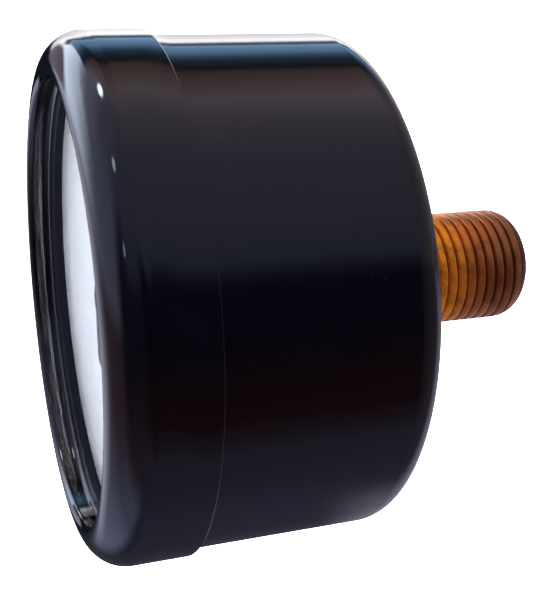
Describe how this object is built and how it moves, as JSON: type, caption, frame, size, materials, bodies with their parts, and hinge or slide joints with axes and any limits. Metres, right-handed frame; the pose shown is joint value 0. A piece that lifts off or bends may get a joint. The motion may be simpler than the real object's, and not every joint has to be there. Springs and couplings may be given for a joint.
{
  "type": "pressure gauge",
  "caption": "Small dry dial pressure gauge in a gloss black steel case with a pressed-on bezel, clear window, white dial and a brass threaded stem at the centre of its back.",
  "frame": {"origin": "on the gauge's axis, at the shoulder of the wrench square where the stem's thread starts", "axes": "+Y along the stem, away from the case; the dial faces -Y; +Z towards twelve o'clock on the dial, +X towards three o'clock"},
  "size_m": [0.0422, 0.0408, 0.0422],
  "materials": {
    "black_enamel": "gloss stoved enamel",
    "window_glass": "clear, polished",
    "black_rubber": "matt",
    "black_plastic": "fine matt",
    "dial_white": "matt white enamel with black print",
    "pointer_black": "satin black",
    "nickel": "bright nickel plate",
    "brass": "turned brass, lightly tarnished",
    "tube_bronze": "drawn bronze tube",
    "spring_bronze": "fine rolled strip",
    "steel": "zinc plated"
  },
  "bodies": {
    "housing": {"case": "black_enamel", "bezel": "black_enamel", "window": "window_glass", "window_gasket": "black_rubber", "spacer_ring": "black_plastic", "dial": "dial_white", "dial_screws": "steel", "stop_pin": "brass", "hairspring": "spring_bronze", "hairspring_stud": "brass", "bourdon_tube": "tube_bronze", "movement_front_plate": "brass", "movement_back_plate": "brass", "pillars": "brass", "plate_screws": "steel", "movement_screws": "steel", "socket": "brass", "socket_screws": "steel", "restrictor": "brass"},
    "pointer_shaft": {"pinion": "steel", "pointer": "pointer_black", "pointer_hub": "nickel", "hairspring_collet": "brass"},
    "sector": {"sector_gear": "brass", "sector_arbor": "steel", "sector_pin": "steel"},
    "link": {"link": "brass"},
    "tube_end": {"tube_tip": "brass", "tip_pin": "steel"}
  },
  "joints": [
    {"name": "sector_swing", "type": "hinge", "parent": "housing", "child": "sector", "pos_m": [0.00829, -0.02035, -0.00399], "axis": [0, -1, 0], "range_deg": [0, 27], "stiffness_Nm_per_rad": 0.002},
    {"name": "pointer_spin", "type": "hinge", "parent": "housing", "child": "pointer_shaft", "pos_m": [0, -0.02035, 0], "axis": [0, 1, 0], "range_deg": [0, 180.5], "deforming": ["hairspring"]},
    {"name": "link_swing", "type": "hinge", "parent": "sector", "child": "link", "pos_m": [0.01286, -0.01965, -0.00509], "axis": [0, -1, 0], "range_deg": [-29.6, 0]},
    {"name": "tube_tip_swing", "type": "hinge", "parent": "housing", "child": "tube_end", "pos_m": [-0.00375, -0.014, 0.00315], "axis": [0, -1, 0], "range_deg": [0, 7.6], "deforming": ["bourdon_tube"]}
  ],
  "couplings": [
    {"joint": "pointer_spin", "follows": "sector_swing", "ratio": 6.6667},
    {"joint": "link_swing", "follows": "sector_swing", "ratio": -1.091},
    {"joint": "tube_tip_swing", "follows": "sector_swing", "ratio": 0.2767}
  ]
}
